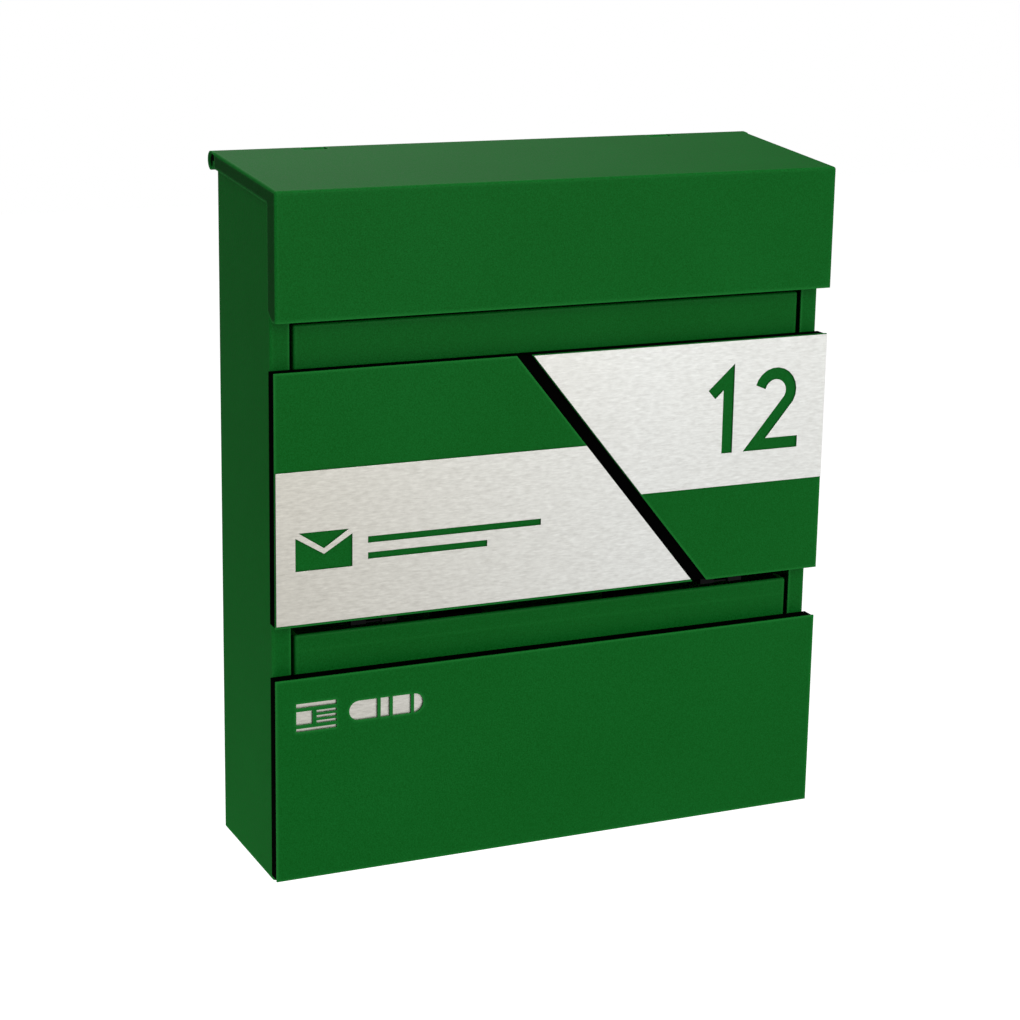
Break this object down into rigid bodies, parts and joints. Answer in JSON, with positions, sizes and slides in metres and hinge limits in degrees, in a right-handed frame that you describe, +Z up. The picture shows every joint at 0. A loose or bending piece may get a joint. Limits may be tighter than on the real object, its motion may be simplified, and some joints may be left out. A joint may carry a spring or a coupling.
{
  "type": "wall mounted mailbox",
  "caption": "Wall mounted sheet-metal mailbox with a sloping lid over a letter slot, a drop-down mail door and a separate newspaper compartment with its own flap.",
  "frame": {"origin": "the wall plane, at the centre of the four wall spacers' rear faces", "axes": "+X to the right seen from the front, -Y out of the front, +Z up"},
  "size_m": [0.372, 0.1265, 0.436],
  "materials": {
    "green_powder_coat": "fine-grained powder coat, satin",
    "brushed_steel": "brushed lengthways",
    "black_board": "matt black",
    "zinc_steel": "bright zinc plating",
    "black_steel": "black oxide, satin",
    "rubber": "matt"
  },
  "bodies": {
    "body": {"back_panel": "green_powder_coat", "left_side_panel": "green_powder_coat", "right_side_panel": "green_powder_coat", "floor_plate": "green_powder_coat", "partition_shelf": "green_powder_coat", "top_plate": "green_powder_coat", "front_fascia": "green_powder_coat", "wall_spacer_upper_left": "rubber", "wall_spacer_upper_right": "rubber", "wall_spacer_lower_left": "rubber", "wall_spacer_lower_right": "rubber", "lid_hinge_bracket_left": "green_powder_coat", "lid_hinge_bracket_right": "green_powder_coat", "lid_hinge_rod": "black_steel", "lid_buffer_left": "rubber", "lid_buffer_right": "rubber", "magnet_catch_left": "black_board", "magnet_catch_right": "black_board", "mail_hinge_fixed_leaf_left": "black_steel", "mail_hinge_fixed_leaf_right": "black_steel", "flap_hinge_fixed_leaf_left": "black_steel", "flap_hinge_fixed_leaf_right": "black_steel", "lock_body": "zinc_steel", "lock_nut": "zinc_steel"},
    "lid": {"lid_shell": "green_powder_coat"},
    "mail_door": {"mail_door_tray": "green_powder_coat", "middle_spacer_board": "black_board", "left_panel": "green_powder_coat", "right_panel": "green_powder_coat", "name_plate": "brushed_steel", "number_plate": "brushed_steel", "mail_hinge_moving_leaf_left": "black_steel", "mail_hinge_moving_leaf_right": "black_steel", "mail_hinge_pin_left": "black_steel", "mail_hinge_pin_right": "black_steel", "middle_panel_screw_1": "zinc_steel", "middle_panel_screw_2": "zinc_steel", "middle_panel_screw_3": "zinc_steel", "middle_panel_screw_4": "zinc_steel"},
    "newspaper_flap": {"newspaper_flap_tray": "green_powder_coat", "lower_spacer_board": "black_board", "newspaper_panel": "green_powder_coat", "stencil_backing_plate": "brushed_steel", "flap_hinge_moving_leaf_left": "black_steel", "flap_hinge_moving_leaf_right": "black_steel", "flap_hinge_pin_left": "black_steel", "flap_hinge_pin_right": "black_steel", "lower_panel_screw_1": "zinc_steel", "lower_panel_screw_2": "zinc_steel", "lower_panel_screw_3": "zinc_steel", "lower_panel_screw_4": "zinc_steel"},
    "lock_plug": {"lock_rotor": "zinc_steel", "lock_cam": "zinc_steel", "cam_screw": "zinc_steel"}
  },
  "joints": [
    {"name": "lid_hinge", "type": "hinge", "parent": "body", "child": "lid", "pos_m": [0, -0.007, 0.21519], "axis": [-1, 0, 0], "range_deg": [0, 80]},
    {"name": "mail_door_hinge", "type": "hinge", "parent": "body", "child": "mail_door", "pos_m": [0, -0.1165, -0.0495], "axis": [1, 0, 0], "range_deg": [0, 90]},
    {"name": "newspaper_flap_hinge", "type": "hinge", "parent": "body", "child": "newspaper_flap", "pos_m": [0, -0.1165, -0.2108], "axis": [1, 0, 0], "range_deg": [0, 90]},
    {"name": "lock_turn", "type": "hinge", "parent": "body", "child": "lock_plug", "pos_m": [0, -0.1125, 0.148], "axis": [0, 1, 0], "range_deg": [0, 90]}
  ]
}
